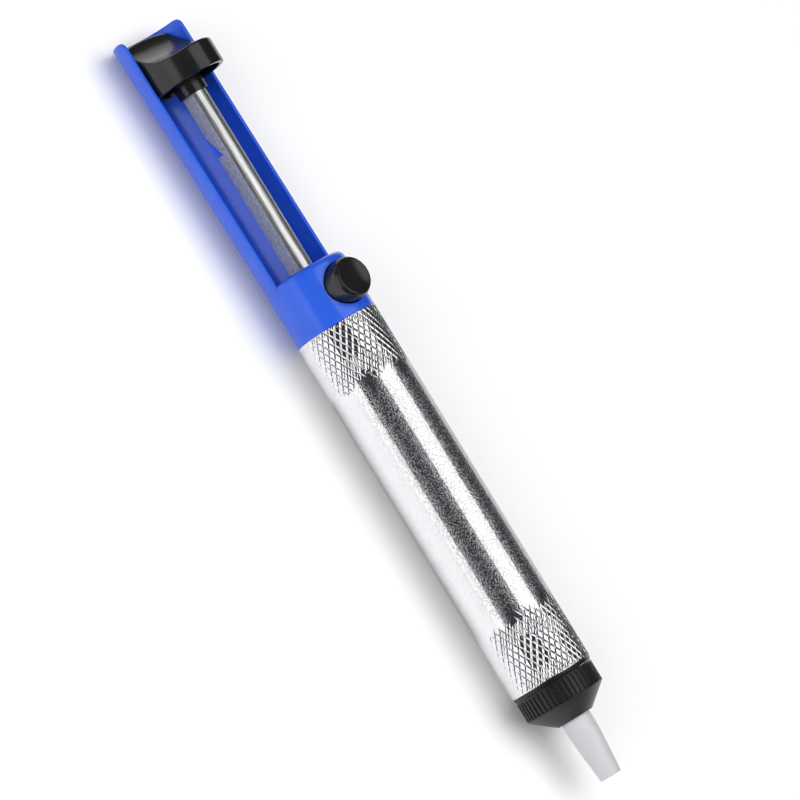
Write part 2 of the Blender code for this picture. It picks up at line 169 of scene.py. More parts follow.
def filleted(corners, steps=5):
    """A closed outline from (u, v, fillet radius) corners."""
    outline = []
    count = len(corners)
    for k, (u, v, fillet) in enumerate(corners):
        here = Vector((u, v))
        before = Vector(corners[k - 1][:2]) - here
        after = Vector(corners[(k + 1) % count][:2]) - here
        if fillet <= 0:
            outline.append((u, v))
            continue
        half = before.angle(after) / 2
        before.normalize()
        after.normalize()
        centre = here + (before + after).normalized() * (fillet / sin(half))
        reach = fillet * cos(half) / sin(half)
        start = (here + before * reach - centre).normalized()
        end = (here + after * reach - centre).normalized()
        for i in range(steps + 1):
            outline.append(tuple(centre + start.slerp(end, i / steps) * fillet))
    return outline


def full_turn(count):
    """Angles evenly spaced around a full turn."""
    return np.arange(count) * 2 * pi / count


def turned_ring(station, radius, theta):
    """One ring about the pump's axis, with theta measured from straight down."""
    return np.stack([np.full(len(theta), station), radius * np.sin(theta), -radius * np.cos(theta)], 1)


def lathe(name, outline, material, body, replaces=(), count=ROUND, shape=None, sharp=SHARP):
    """A ring-shaped turned piece. outline is a closed list of (station, radius)."""
    theta = full_turn(count)
    rings = []
    for station, radius in outline:
        r = np.full(count, float(radius))
        if shape:
            r = shape(station, r, theta)
        rings.append(turned_ring(station, r, theta))
    return loft(name, rings, material, body, replaces, wrap=True, sharp=sharp)


def boolean(obj, cutter, operation="DIFFERENCE"):
    """Cut or join in place and drop the cutter."""
    modifier = obj.modifiers.new("cut", "BOOLEAN")
    modifier.operation = operation
    modifier.solver = "EXACT"
    modifier.object = cutter
    bpy.context.view_layer.update()
    result = obj.evaluated_get(bpy.context.evaluated_depsgraph_get())
    mesh = bpy.data.meshes.new_from_object(result)
    work = bmesh.new()
    work.from_mesh(mesh)
    bmesh.ops.remove_doubles(work, verts=work.verts, dist=CUT_WELD)
    bmesh.ops.dissolve_degenerate(work, edges=work.edges, dist=CUT_WELD)
    work.to_mesh(mesh)
    work.free()
    obj.modifiers.clear()
    obj.data = mesh
    bpy.data.objects.remove(cutter, do_unlink=True)


def soften(obj, width, angle, segments=3):
    """Round the edges that are sharper than angle."""
    work = bmesh.new()
    work.from_mesh(obj.data)
    bmesh.ops.remove_doubles(work, verts=work.verts, dist=BEVEL_WELD)
    edges = [e for e in work.edges if e.is_manifold and e.calc_face_angle() > radians(angle)]
    bmesh.ops.bevel(work, geom=edges, offset=width * MM, segments=segments, profile=0.5,
                    affect="EDGES", clamp_overlap=True)
    bmesh.ops.recalc_face_normals(work, faces=work.faces)
    work.to_mesh(obj.data)
    work.free()
    obj.data.shade_smooth()
    obj.data.set_sharp_from_angle(angle=radians(CUT_SHARP))


# ---------------------------------------------------------------- materials

class Nodes:
    """Short calls for one material's node tree."""

    def __init__(self, name):
        self.material = bpy.data.materials.new(name)
        self.material.use_nodes = True
        self.tree = self.material.node_tree
        self.shader = self.tree.nodes["Principled BSDF"]
        self.place = self.add("ShaderNodeTexCoord").outputs["Object"]

    def add(self, kind, **values):
        node = self.tree.nodes.new(kind)
        for key, value in values.items():
            setattr(node, key, value)
        return node

    def link(self, output, target):
        self.tree.links.new(output, target)

    def stretched(self, scale):
        node = self.add("ShaderNodeMapping")
        node.inputs["Scale"].default_value = scale
        self.link(self.place, node.inputs["Vector"])
        return node.outputs["Vector"]

    def noise(self, size, detail=3.0, vector=None, roughness=0.5):
        """Noise whose features are about size millimetres."""
        node = self.add("ShaderNodeTexNoise")
        node.inputs["Scale"].default_value = 1.0 / (size * MM)
        node.inputs["Detail"].default_value = detail
        node.inputs["Roughness"].default_value = roughness
        self.link(vector or self.place, node.inputs["Vector"])
        return node.outputs["Fac"]

    def span(self, value, low, high, start=0.3, end=0.7):
        node = self.add("ShaderNodeMapRange")
        node.inputs["From Min"].default_value = start
        node.inputs["From Max"].default_value = end
        node.inputs["To Min"].default_value = low
        node.inputs["To Max"].default_value = high
        self.link(value, node.inputs["Value"])
        return node.outputs["Result"]

    def times(self, first, second):
        node = self.add("ShaderNodeMath", operation="MULTIPLY")
        self.link(first, node.inputs[0])
        self.link(second, node.inputs[1])
        return node.outputs["Value"]

    def mix(self, share, first, second):
        node = self.add("ShaderNodeMix", data_type="RGBA")
        node.inputs["A"].default_value = (*first, 1.0)
        node.inputs["B"].default_value = (*second, 1.0)
        self.link(share, node.inputs["Factor"])
        return node.outputs["Result"]

    def bump(self, layers):
        """layers are (value, height in mm)."""
        normal = None
        for value, height in layers:
            node = self.add("ShaderNodeBump")
            node.inputs["Distance"].default_value = height * MM
            node.inputs["Strength"].default_value = 1.0
            self.link(value, node.inputs["Height"])
            if normal:
                self.link(normal, node.inputs["Normal"])
            normal = node.outputs["Normal"]
        self.link(normal, self.shader.inputs["Normal"])

    def set(self, **values):
        for key, value in values.items():
            self.shader.inputs[key.replace("_", " ")].default_value = value


def grey(level):
    return level, level, level, 1.0


def metal(name, light, dark, rough, grain, bump_height, drift=6.0, metallic=1.0):
    """Metal with fine grain, and colour that drifts over patches of drift millimetres."""
    n = Nodes(name)
    fine = n.noise(grain, 4.0)
    cloudy = n.noise(drift, 3.0)
    n.set(Metallic=metallic, Specular_Tint=grey(0.8))
    n.link(n.mix(n.span(cloudy, 0.0, 1.0), light, dark), n.shader.inputs["Base Color"])
    n.link(n.span(fine, rough[0], rough[1]), n.shader.inputs["Roughness"])
    n.bump([(fine, bump_height)])
    return n.material


SPECK_SIZE = 0.26
SPECKS_FADE_IN = 88, 97           # the stations over which the specks appear
SPECKS_FADE_OUT = 151, 160        # and disappear again


def make_barrel_metal():
    """Bright tube, clean at its knurled ends and peppered with duller specks between them."""
    n = Nodes("barrel_aluminium")
    along = n.add("ShaderNodeSeparateXYZ")
    n.link(n.place, along.inputs["Vector"])
    rear, rear_full, front_full, front = (
        float(world((s, 0, 0))[0]) for s in SPECKS_FADE_IN + SPECKS_FADE_OUT)
    share = n.times(n.span(along.outputs["X"], 0.0, 1.0, rear, rear_full),
                    n.span(along.outputs["X"], 1.0, 0.0, front_full, front))
    speck = n.times(n.span(n.noise(SPECK_SIZE, 2.0), 0.0, 1.0, 0.49, 0.66), share)
    n.set(Metallic=1.0, Specular_Tint=grey(0.6))
    n.link(n.mix(speck, (0.84, 0.845, 0.86), (0.75, 0.755, 0.77)), n.shader.inputs["Base Color"])
    n.link(n.span(speck, 0.06, 0.30, 0.0, 1.0), n.shader.inputs["Roughness"])
    n.bump([(speck, 0.022)])
    return n.material


def make_drawn_steel():
    """The rod's steel, with fine draw lines along X."""
    n = Nodes("drawn_steel")
    lines = n.noise(0.3, 3.0, n.stretched((0.03, 1.0, 1.0)))
    n.set(Metallic=1.0, Specular_Tint=grey(0.6))
    n.link(n.mix(n.span(lines, 0.0, 1.0), (0.93, 0.93, 0.92), (0.74, 0.74, 0.74)),
           n.shader.inputs["Base Color"])
    n.link(n.span(lines, 0.28, 0.42), n.shader.inputs["Roughness"])
    n.bump([(lines, 0.05)])
    return n.material


FLOW_MARK = 6.0                   # size of the slow waves in a moulded skin


def plastic(name, color, other, rough, grain=0.35, bump_height=0.002, level=0.5, coat=0.0):
    """Moulded plastic: fine skin, faint flow marks and slow colour drift."""
    n = Nodes(name)
    fine = n.noise(grain, 2.0)
    slow = n.noise(FLOW_MARK, 1.0)
    n.link(n.mix(n.span(slow, 0.0, 1.0), color, other), n.shader.inputs["Base Color"])
    n.link(n.span(fine, rough[0], rough[1]), n.shader.inputs["Roughness"])
    n.set(Specular_IOR_Level=level, Coat_Weight=coat, Coat_Roughness=0.06)
    n.bump([(slow, 0.09), (fine, bump_height)])
    return n.material


def make_ptfe():
    """Waxy white fluoropolymer, lit from within a little."""
    n = Nodes("nozzle_ptfe")
    cloudy = n.noise(2.6, 3.0)
    fine = n.noise(0.18, 3.0)
    n.link(n.mix(n.span(cloudy, 0.0, 1.0), (0.50, 0.50, 0.528), (0.55, 0.55, 0.572)),
           n.shader.inputs["Base Color"])
    n.link(n.span(fine, 0.36, 0.5), n.shader.inputs["Roughness"])
    n.set(Subsurface_Weight=0.08, Subsurface_Scale=0.0006)
    n.bump([(cloudy, 0.03), (fine, 0.004)])
    return n.material


BARREL = make_barrel_metal()
STEEL = make_drawn_steel()
MILLED = metal("milled_flat", (0.54, 0.55, 0.58), (0.30, 0.31, 0.34), (0.42, 0.6), 0.4, 0.02,
               drift=0.7, metallic=0.35)
WIRE = metal("spring_wire", (0.55, 0.55, 0.56), (0.46, 0.46, 0.47), (0.25, 0.4), 0.2, 0.002)
BRONZE = metal("bush_bronze", (0.62, 0.42, 0.20), (0.52, 0.34, 0.16), (0.35, 0.5), 0.2, 0.004)
BLUE = plastic("blue_plastic", (0.015, 0.088, 0.60), (0.019, 0.098, 0.63), (0.20, 0.28),
               level=0.4, coat=0.2)
BLACK = plastic("black_plastic", (0.009, 0.009, 0.010), (0.013, 0.013, 0.014), (0.26, 0.38),
                0.25, 0.005, level=0.35)
KNOB = plastic("knob_plastic", (0.008, 0.008, 0.009), (0.011, 0.011, 0.011), (0.16, 0.24), 0.3)
RUBBER = plastic("seal_rubber", (0.018, 0.018, 0.018), (0.026, 0.026, 0.026), (0.6, 0.8), 0.2, 0.01)
PTFE = make_ptfe()


# ---------------------------------------------------------------- the barrel

KNURL_STARTS = 40                 # grooves of each hand around the tube
KNURL_SLANT = radians(30)
KNURL_DEPTH = 0.15
KNURL_HALF_WIDTH = 0.20
KNURL_ROWS, KNURL_COLUMNS = 118, KNURL_STARTS * 20
KNURL_START = 0.25                # length over which the grooves reach full depth at the tube's end
KNURL_FADE = 1.3                  # length over which one groove runs out
KNURL_RUN_OUT = 3.0               # spread of the grooves' ends
REAR_BAND_END = 95.0
FRONT_BAND_START = 153.2
TUBE_WALL = 1.0
TUBE_LIP = 0.12                   # rounding of the tube's two ends


def groove(around, along, left, hand, shift):
    """Depth share of one hand of grooves, each running out at its own distance from the band's end.

    around and along are distances on the surface, and left is the distance to the band's end.
    """
    pitch = 2 * pi * TUBE_RADIUS / KNURL_STARTS
    turn = (around - hand * along * np.tan(KNURL_SLANT)) / pitch + shift
    line = np.round(turn)
    distance = np.abs(turn - line) * pitch * cos(KNURL_SLANT)
    number = (line % KNURL_STARTS) * 2.4 + hand + shift
    run_out = KNURL_RUN_OUT * (0.5 + 0.32 * np.sin(number * 3.1) + 0.18 * np.sin(number * 7.7))
    fade = np.clip((left - run_out) / KNURL_FADE, 0, 1)
    return np.clip(1 - distance / KNURL_HALF_WIDTH, 0, 1) * fade


def knurled(outer_edge, inner_edge):
    """The radius of a knurled band whose grooves run out raggedly towards inner_edge."""
    inward = 1 if inner_edge > outer_edge else -1

    def shape(station, radius, theta):
        if radius[0] < TUBE_RADIUS - TUBE_WALL / 2:
            return radius
        around = theta * TUBE_RADIUS
        along = station - outer_edge
        left = (inner_edge - station) * inward
        start = np.clip((station - outer_edge) * inward / KNURL_START, 0, 1)
        double = 0.5 + 0.5 * np.sin(along * 0.55 + 1.8 * np.sin(theta * 2) + 0.6)
        main = np.maximum(groove(around, along, left, 1, 0.0), groove(around, along, left, -1, 0.0))
        second = groove(around, along, left, 1, 0.5) * np.clip(double * 1.6 - 0.8, 0, 0.8)
        return radius - KNURL_DEPTH * start * np.maximum(main, second)

    return shape


def tube_piece(name, start, end, rows, columns, shape=None, rear_lip=0.0, front_lip=0.0):
    """A length of tube; only the tube's true ends have a lip to round."""
    outer, inner = TUBE_RADIUS, TUBE_RADIUS - TUBE_WALL
    skin = [(s, outer) for s in np.linspace(start + rear_lip, end - front_lip, rows)]
    if rear_lip:
        skin = [(start, outer - rear_lip), (start + 0.3 * rear_lip, outer - 0.3 * rear_lip)] + skin
    if front_lip:
        skin += [(end - 0.3 * front_lip, outer - 0.3 * front_lip), (end, outer - front_lip)]
    outline = skin + [(end, inner), (start, inner)]
    replaces = ("barrel_tube",) if name == "barrel_tube" else ()
    lathe(name, outline, BARREL, "housing", replaces, columns, shape)


def make_barrel():
    """The tube in three lengths, so that only its knurled ends need a dense mesh."""
    tube_piece("knurl_band_rear", TUBE_START, REAR_BAND_END, KNURL_ROWS, KNURL_COLUMNS,
               knurled(TUBE_START, REAR_BAND_END), rear_lip=TUBE_LIP)
    tube_piece("barrel_tube", REAR_BAND_END, FRONT_BAND_START, 24, ROUND * 2)
    tube_piece("knurl_band_front", FRONT_BAND_START, TUBE_END, KNURL_ROWS, KNURL_COLUMNS,
               knurled(TUBE_END, FRONT_BAND_START), front_lip=TUBE_LIP)


# ---------------------------------------------------------------- handle and guard

GUARD_OUTER, GUARD_INNER = 9.85, 8.95
GUARD_LEAN = 1.1                  # how far the guard's free end leans back from the axis
GUARD_EDGE = 0.3                  # rounding of the guard's rims
GUARD_RIM = 0.03                  # the least that rounding shrinks to at the free end
GUARD_CORNER = 1.9                # rounding of the free end's two corners, seen from the side
ARC_STEPS, EDGE_STEPS = 72, 6     # points along the guard's quarter arcs and round its rims


def guard_section(station):
    """One cross-section of the half-round guard, as a closed ring."""
    inset = 0.0
    if station < GUARD_EDGE:
        inset = GUARD_EDGE - sqrt(GUARD_EDGE ** 2 - (GUARD_EDGE - station) ** 2)
    edge = max(GUARD_EDGE - inset, GUARD_RIM)
    rim = -inset
    if station < GUARD_CORNER:
        rim -= GUARD_CORNER - sqrt(GUARD_CORNER ** 2 - (GUARD_CORNER - station) ** 2)
    outer, inner = GUARD_OUTER - inset, GUARD_INNER + inset
    level = rim - edge
    side = []
    for radius, outside in ((outer - edge, True), (inner + edge, False)):
        centre = (sqrt(radius ** 2 - level ** 2), level)
        radial = atan2(centre[1], centre[0])
        first, last = (radial, pi / 2) if outside else (pi / 2, radial + pi)
        turns = np.linspace(first, last, EDGE_STEPS)
        side += [(centre[0] + edge * cos(t), centre[1] + edge * sin(t)) for t in turns]
    outer_start = atan2(side[0][1], side[0][0])
    inner_end = atan2(side[-1][1], side[-1][0])
    bottom = -pi / 2
    outer_turns = np.linspace(bottom, outer_start, ARC_STEPS)[:-1]
    inner_turns = np.linspace(inner_end, bottom, ARC_STEPS)[1:]
    outer_arc = [(outer * cos(t), outer * sin(t)) for t in outer_turns]
    inner_arc = [(inner * cos(t), inner * sin(t)) for t in inner_turns]
    right = outer_arc + side + inner_arc
    left = [(-y, z) for y, z in reversed(right)]
    lean = GUARD_LEAN * max(BLOCK_START - station, 0) / BLOCK_START
    return [(station, y, z - lean) for y, z in right + left]


def make_guard():
    """The half-round guard; its section ring runs out along the outside and back along the inside."""
    near_end = [0.0, 0.01, 0.04, 0.09, 0.16, 0.24, 0.3, 0.45, 0.65, 0.9, 1.2, 1.55, 1.9]
    stations = near_end + list(np.linspace(4, BLOCK_START + 2.2, 26))
    rings = np.array([guard_section(s) for s in stations])
    total, count = rings.shape[:2]
    verts = list(rings.reshape(-1, 3))
    faces = strip_faces(total, count, False)
    half = count // 2
    for base in (0, (total - 1) * count):  # the ends: a strip between outside and inside
        for side_start in (0, half):
            for i in range(half // 2):
                a, b = side_start + i, side_start + half - 1 - i
                if a + 1 < b - 1:
                    faces.append((base + a, base + a + 1, base + b - 1, base + b))
                elif a + 1 == b - 1:
                    faces.append((base + a, base + a + 1, base + b))
    return finish_mesh("guard", verts, faces, BLUE, None)


BLOCK_RADIUS = 9.95
BLOCK_FILLET = 1.5                # of the block's rear rim
BLOCK_HOLE = 3.15                 # where the plunger's shaft passes through
SPIGOT_END = 90.3                 # of the block's part inside the tube
BUSH_SEAT, BUSH_POCKET = 84.0, 5.3
BUTTON_RADIUS = 4.95
WELL_GAP = 0.25                   # around the button
WELL_FLOOR, WELL_TOP = -7.2, 12.0           # heights here are measured from the pump's axis
SPRING_FLOOR, SPRING_POCKET = -9.0, 2.6


def make_handle():
    """The block with the guard joined to it and the button's well cut down into it."""
    outline = filleted([
        (BLOCK_START, BLOCK_HOLE, 0.2), (BLOCK_START, BLOCK_RADIUS, BLOCK_FILLET),
        (BLOCK_END, BLOCK_RADIUS, 0.12), (BLOCK_END, PLUG_RADIUS, 0.0),
        (SPIGOT_END, PLUG_RADIUS, 0.3), (SPIGOT_END, BUSH_POCKET, 0.0),
        (BUSH_SEAT, BUSH_POCKET, 0.0), (BUSH_SEAT, BLOCK_HOLE, 0.0)], steps=8)
    block = lathe("handle_guard", outline, BLUE, None)
    hole = BUTTON_RADIUS + WELL_GAP
    well = [(SPRING_FLOOR, SPRING_POCKET), (WELL_FLOOR, SPRING_POCKET), (WELL_FLOOR, hole), (WELL_TOP, hole)]
    boolean(block, make_guard(), "UNION")
    boolean(block, button_lathe("button_well", well, BLUE))
    soften(block, 0.16, angle=55)
    attach(block, "housing", ("handle_guard",))


def button_lathe(name, outline, material):
    """A solid turned piece about the button's axis. outline is (height, radius), bottom to top."""
    theta = full_turn(128)
    rings = [np.stack([BUTTON_STATION + r * np.cos(theta), r * np.sin(theta), np.full(len(theta), h)], 1)
             for h, r in outline]
    return loft(name, rings, material, None)


# ---------------------------------------------------------------- the button

BUTTON_BOTTOM, BUTTON_TOP = -5.0, 13.6
BUTTON_EDGE = 0.2                 # chamfer round the bottom
# The rim's chamfer, as drops below the top and insets from the side.
CHAMFER = ((0.88, 0.03), (0.75, 0.11), (0.35, 0.31), (0.18, 0.41), (0.05, 0.57), (0.0, 0.75))
DISH_RADIUS, DISH_DEPTH = 4.06, 0.5
SHAFT_SLOT = 3.3, -3.4, 5.7       # a slot's half width, lowest and highest points
PLATE_SLOT = 3.15, -3.05, 5.4
PLATE_THICKNESS, PLATE_HALF_WIDTH = 1.4, 4.1
PLATE_LOW, PLATE_HIGH = -4.9, 7.0
PLATE_GAP = 0.3                   # around the plate, in the button


def stadium(half_width, low, high, reach):
    """A cutter along the pump, at the button, whose section is an upright slot with round ends."""
    top = np.linspace(0, pi, 17)
    outline = [(half_width * cos(t), high - half_width + half_width * sin(t)) for t in top]
    outline += [(half_width * cos(t), low + half_width + half_width * sin(t)) for t in top + pi]
    rings = [[(BUTTON_STATION + side * reach, y, z) for y, z in outline] for side in (-1, 1)]
    return loft("cutter", rings, STEEL, None)


def slab(length, low, high, half_width):
    """A block centred on the button's station."""
    corners = [(-half_width, low), (half_width, low), (half_width, high), (-half_width, high)]
    rings = [[(BUTTON_STATION + side * length / 2, y, z) for y, z in corners] for side in (-1, 1)]
    return loft("cutter", rings, STEEL, None)


def make_button():
    """A round button with a chamfered rim and a dished face, cross-cut for the shaft and the catch."""
    outline = [(BUTTON_BOTTOM, BUTTON_RADIUS - BUTTON_EDGE), (BUTTON_BOTTOM + BUTTON_EDGE, BUTTON_RADIUS)]
    outline += [(h, BUTTON_RADIUS) for h in np.linspace(BUTTON_BOTTOM + 1, BUTTON_TOP - 1.05, 12)]
    outline += [(BUTTON_TOP - drop, BUTTON_RADIUS - inset) for drop, inset in CHAMFER]
    outline += [(BUTTON_TOP - 0.015 - DISH_DEPTH * (1 - (r / DISH_RADIUS) ** 2), r)
                for r in (DISH_RADIUS, 3.8, 3.3, 2.7, 2.0, 1.3, 0.6)]
    button = button_lathe("release_button", outline, KNOB)
    boolean(button, stadium(*SHAFT_SLOT, reach=8))
    boolean(button, slab(PLATE_THICKNESS + 2 * PLATE_GAP, BUTTON_BOTTOM - 1, PLATE_HIGH + PLATE_GAP,
                         PLATE_HALF_WIDTH + PLATE_GAP))
    button.data.shade_smooth()
    button.data.set_sharp_from_angle(angle=radians(CUT_SHARP))
    attach(button, "button", ("release_button",))
    make_catch_plate()


def make_catch_plate():
    """The flat plate in the button, whose slot catches the shaft's notch."""
    plate = slab(PLATE_THICKNESS, PLATE_LOW, PLATE_HIGH, PLATE_HALF_WIDTH)
    plate.name = plate.data.name = "catch_plate_fine"
    boolean(plate, stadium(*PLATE_SLOT, reach=3))
    soften(plate, 0.12, angle=60, segments=2)
    attach(plate, "button", ("catch_plate",))


# ---------------------------------------------------------------- the knob

KNOB_HALF_WIDTH, KNOB_FRONT = 8.55, 10.7
KNOB_CREST, KNOB_SKIRT = 0.8, 15.0
KNOB_BOSS_RADIUS, KNOB_BOSS_END = 3.6, 17.9
KNOB_BORE, KNOB_BORE_FLOOR = 2.96, 9.4      # the shaft is pressed in
KNOB_WALL = 1.25
KNOB_ROOF = 3.5                   # the hollow starts no further back than this station
KNOB_COLUMNS = 288
SCOOP_RADIUS, SCOOP_STATION, SCOOP_HEIGHT = 14.3, -5.4, 8.0
SCOOP_CREASE = 0.9                # length over which scoop and crest blend
LIP, SKIRT_RIM, INNER_RIM, BOSS_RIM = 0.5, 0.3, 0.2, 0.25   # roundings


def soft_max(a, b, radius):
    """The larger of two values, blended over radius, which rounds the crease between them."""
    h = np.clip(radius - np.abs(a - b), 0, None) / radius
    return np.maximum(a, b) + h * h * radius / 4


def knob_top(y, z, offset=0.0):
    """Station of the knob's top: the thumb's scoop, and the convex crest behind it."""
    under = (SCOOP_RADIUS + offset) ** 2 - (SCOOP_HEIGHT - z) ** 2
    scoop = SCOOP_STATION + np.sign(under) * np.sqrt(np.abs(under))
    crest = KNOB_CREST + offset * 2.0 + 0.012 * y ** 2
    return soft_max(scoop, crest, SCOOP_CREASE)


def knob_roof(y, z):
    """Station of the roof of the knob's hollow."""
    return np.maximum(knob_top(y, z, KNOB_WALL), KNOB_ROOF)


def knob_plan(inset):
    """The knob's outline seen along the pump, drawn in by inset, as Y and Z arrays."""
    theta = full_turn(KNOB_COLUMNS)
    width = KNOB_HALF_WIDTH - inset
    height = np.where(np.sin(theta) > 0, KNOB_FRONT - inset, width)
    return width * np.cos(theta), height * np.sin(theta)


def round_plan(radius):
    theta = full_turn(KNOB_COLUMNS)
    return radius * np.cos(theta), radius * np.sin(theta)


def knob_ring(plan, station):
    """One ring over a plan; station is one number, or one for each point."""
    y, z = plan
    return np.stack([np.broadcast_to(station, y.shape), y, z], 1)


def knob_outside():
    """Rings from the scoop's middle, over the upper edge and down the wall, to the skirt's rim."""
    rings = []
    y, z = knob_plan(0.0)
    for share in np.linspace(0.02, 0.94, 56):
        plan = (y * share, z * share)
        rings.append(knob_ring(plan, knob_top(*plan)))
    for t in np.linspace(0, pi / 2, 7):
        plan = knob_plan(LIP * (1 - sin(t)))
        rings.append(knob_ring(plan, knob_top(*plan) + LIP * (1 - cos(t))))
    top, bottom = knob_top(y, z) + LIP, KNOB_SKIRT - SKIRT_RIM
    for share in np.linspace(0.06, 0.97, 14):
        rings.append(knob_ring((y, z), top + share * (bottom - top)))
    for t in np.linspace(0, pi / 2, 5):
        rings.append(knob_ring(knob_plan(SKIRT_RIM * (1 - cos(t))), bottom + SKIRT_RIM * sin(t)))
    return rings


def knob_inside():
    """Rings up the skirt's inside, across the hollow's roof and down the boss, into its bore."""
    rings = []
    for t in np.linspace(0, pi / 2, 4):
        plan = knob_plan(KNOB_WALL - INNER_RIM * (1 - sin(t)))
        rings.append(knob_ring(plan, KNOB_SKIRT - INNER_RIM * (1 - cos(t))))
    wall, boss = knob_plan(KNOB_WALL), round_plan(KNOB_BOSS_RADIUS)
    start, roof = KNOB_SKIRT - INNER_RIM, knob_roof(*wall)
    for share in np.linspace(0.1, 1.0, 8):
        rings.append(knob_ring(wall, start + share * (roof - start)))
    for share in np.linspace(0.08, 1.0, 14):
        plan = [w + (b - w) * share for w, b in zip(wall, boss)]
        rings.append(knob_ring(plan, knob_roof(*plan)))
    start, end = knob_roof(*boss), KNOB_BOSS_END - BOSS_RIM
    for share in np.linspace(0.1, 1.0, 8):
        rings.append(knob_ring(boss, start + share * (end - start)))
    for t in np.linspace(0, pi / 2, 4)[1:]:
        plan = round_plan(KNOB_BOSS_RADIUS - BOSS_RIM * (1 - cos(t)))
        rings.append(knob_ring(plan, KNOB_BOSS_END - BOSS_RIM * (1 - sin(t))))
    for station in (KNOB_BOSS_END, KNOB_BORE_FLOOR):
        rings.append(knob_ring(round_plan(KNOB_BORE), station))
    return rings


def make_knob():
    loft("plunger_knob", knob_outside() + knob_inside(), KNOB, "plunger", ("plunger_knob",),
         sharp=50)


# ---------------------------------------------------------------- the shaft

SHAFT_START, SHAFT_MIDDLE, SHAFT_END = 9.7, 60.0, 107.7
SHAFT_RADIUS, SHAFT_FLAT = 2.9, 2.2
FLAT_START, FLAT_END = 17.0, 92.0
NOTCH_START, NOTCH_END, NOTCH_DEPTH = 24.0, 33.0, 3.0
SHOULDER = 92.4                   # where the shaft steps down to its screw
SCREW_START, SCREW_END = 92.8, 107.4
SCREW_CREST, SCREW_ROOT, SCREW_PITCH = 1.98, 1.72, 0.7
SUDDEN = 0.004                    # length of a step in the section


def shaft_ring(station, radius, flat=True):
    """One section of the rod, with corners exactly where its two flats and its notch begin."""
    corner = acos(SHAFT_FLAT / SHAFT_RADIUS)
    edges = [-corner, corner, pi - corner, pi + corner, 2 * pi - corner]
    steps = [16, 40, 16, 40]
    theta = np.concatenate([np.linspace(a, b, n, endpoint=False)
                            for a, b, n in zip(edges[:-1], edges[1:], steps)])
    y, z = radius * np.cos(theta), radius * np.sin(theta)
    if flat:
        y = np.clip(y, -SHAFT_FLAT, SHAFT_FLAT)
    if NOTCH_START < station < NOTCH_END:
        share = (station - NOTCH_START) / (NOTCH_END - NOTCH_START)
        z = np.maximum(z, -SHAFT_RADIUS + NOTCH_DEPTH * share ** 1.2)
    return np.stack([np.full(len(theta), station), y, z], 1)


def make_shaft():
    """The plunger's rod: long milled flats, a notch that deepens forwards, and a screw's ridges."""
    r, edge = SHAFT_RADIUS, 0.3
    plan = [(SHAFT_START, r - edge, False), (SHAFT_START + edge, r, False), (FLAT_START, r, False),
            (FLAT_START + SUDDEN, r, True)]
    plan += [(s, r, True) for s in np.linspace(NOTCH_START, NOTCH_END - SUDDEN, 30)]
    plan += [(NOTCH_END + SUDDEN, r, True), (SHAFT_MIDDLE, r, True), (FLAT_END, r, True),
             (FLAT_END + SUDDEN, r, False), (SHOULDER - 0.2, r, False), (SHOULDER, r - 0.2, False),
             (SHOULDER + SUDDEN, 1.9, False)]
    for k in range(int((SCREW_END - SCREW_START) / SCREW_PITCH)):
        base = SCREW_START + k * SCREW_PITCH
        plan += [(base, SCREW_ROOT, False), (base + SCREW_PITCH / 2, SCREW_CREST, False)]
    plan += [(SHAFT_END - 0.2, SCREW_ROOT, False), (SHAFT_END, 1.4, False)]
    rings = [shaft_ring(*row) for row in plan]
    shaft = loft("plunger_shaft", rings, STEEL, "plunger", ("plunger_shaft",), sharp=25)
    shaft.data.materials.append(MILLED)
    for face in shaft.data.polygons:
        flat_side = abs(face.normal.y) > 0.999 and abs(abs(face.center.y) - SHAFT_FLAT * MM) < 0.02 * MM
        if flat_side:
            face.material_index = 1
            face.use_smooth = False


# ---------------------------------------------------------------- the nose

RIB_COUNT = 48
RIB_DEPTH = 0.36
RIB_START, RIB_END = 172.1, 176.35
COLLAR_START, CONE_START, COLLAR_END = 171.55, 176.6, 180.9
COLLAR_RADIUS, CONE_RADIUS, COLLAR_HOLE = 9.65, 4.38, 3.72
COLLAR_BORE, COLLAR_BORE_END = 7.1, 176.2
FLANGE_POCKET, FLANGE_POCKET_END = 6.3, 178.3


def ribbed(station, radius, theta):
    """Axial ribs on the collar's straight part, with rounded tops and run-outs."""
    if radius[0] < COLLAR_RADIUS - 0.5 or not RIB_START - 0.2 < station < RIB_END + 0.2:
        return radius
    wave = np.cos(theta * RIB_COUNT)
    valley = np.clip(0.45 - wave * 1.8, 0, 1)
    ends = np.clip(min(station - RIB_START, RIB_END - station) / 0.25 + 0.3, 0, 1)
    return radius - RIB_DEPTH * valley * ends


